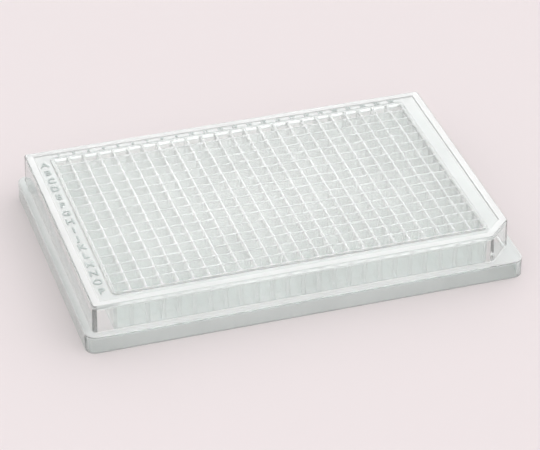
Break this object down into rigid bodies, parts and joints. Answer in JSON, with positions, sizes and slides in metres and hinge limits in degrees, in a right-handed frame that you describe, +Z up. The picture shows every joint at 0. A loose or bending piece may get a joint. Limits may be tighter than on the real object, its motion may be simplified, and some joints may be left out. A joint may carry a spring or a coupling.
{
  "type": "well plate",
  "caption": "Clear rectangular microplate: a grid of square tapered wells in a hollow body that stands on a wider flange, with one corner of the body cut away.",
  "frame": {"origin": "centre of the rectangular footprint, on the base plane that the skirt stands on", "axes": "+Z up; +X along the long side, from column 1 to column 24; +Y along the short side, from row P to row A, so that the first well (A1) is the corner well at -X, +Y and the cut corner is at +X, -Y"},
  "size_m": [0.1278, 0.0854, 0.0143],
  "materials": {
    "clear_plastic": "clear polystyrene, polished mould surface, faint green tint in the thick sections"
  },
  "bodies": {
    "root": {"well_plate": "clear_plastic"}
  },
  "joints": []
}
